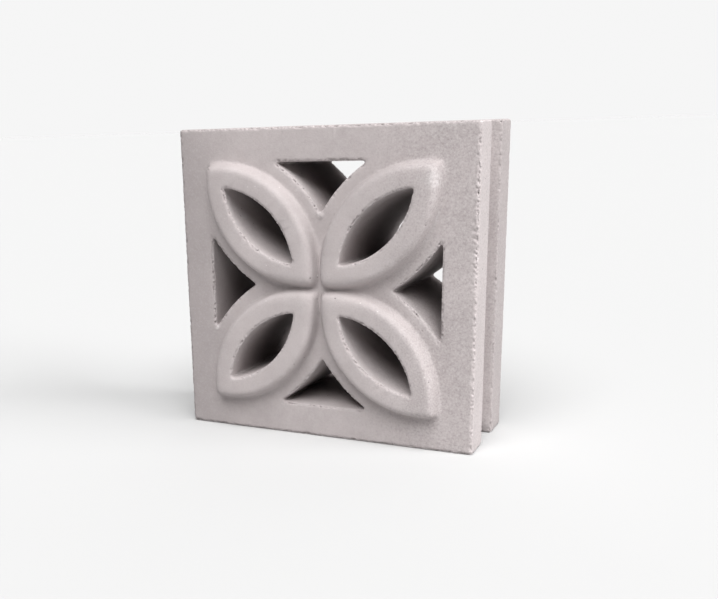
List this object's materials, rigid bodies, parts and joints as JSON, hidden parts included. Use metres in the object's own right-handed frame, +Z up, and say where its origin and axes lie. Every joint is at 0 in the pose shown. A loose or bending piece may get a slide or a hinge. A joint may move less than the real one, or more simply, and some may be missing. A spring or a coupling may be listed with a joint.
{
  "type": "decorative screen block",
  "caption": "Square cast concrete screen block for a pierced wall, with raised lens-shaped petals, pointed and triangular holes, and a mortar groove round its edges.",
  "frame": {"origin": "middle of the space the block stands on, level with its bed face", "axes": "+X along the wall to the right of the patterned face, +Y from the patterned face to the back, +Z up"},
  "size_m": [0.19, 0.0776, 0.19],
  "materials": {
    "concrete": "fine cast concrete, matt"
  },
  "bodies": {
    "root": {"screen_block": "concrete"}
  },
  "joints": []
}
